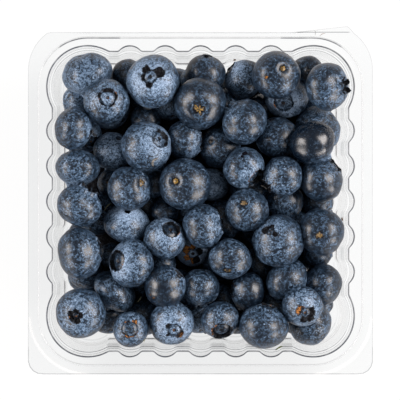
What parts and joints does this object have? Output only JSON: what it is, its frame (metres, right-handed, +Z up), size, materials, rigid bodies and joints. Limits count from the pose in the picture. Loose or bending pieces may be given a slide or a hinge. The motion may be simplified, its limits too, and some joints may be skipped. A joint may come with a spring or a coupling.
{
  "type": "punnet of blueberries",
  "caption": "Square clear plastic punnet with fluted sides and an open top, heaped to its rim with loose blueberries.",
  "frame": {"origin": "middle of the bottom of the whole part's box, under the tray's flat floor", "axes": "+Z up, +X to the right, +Y towards the back edge where the lid was hinged"},
  "size_m": [0.12, 0.1212, 0.0411],
  "materials": {
    "clear_plastic": "smooth clear thermoformed sheet",
    "blueberry": "dark blue skin with a pale mottled bloom"
  },
  "bodies": {
    "root": {"tray": "clear_plastic", "berries": "blueberry"}
  },
  "joints": []
}
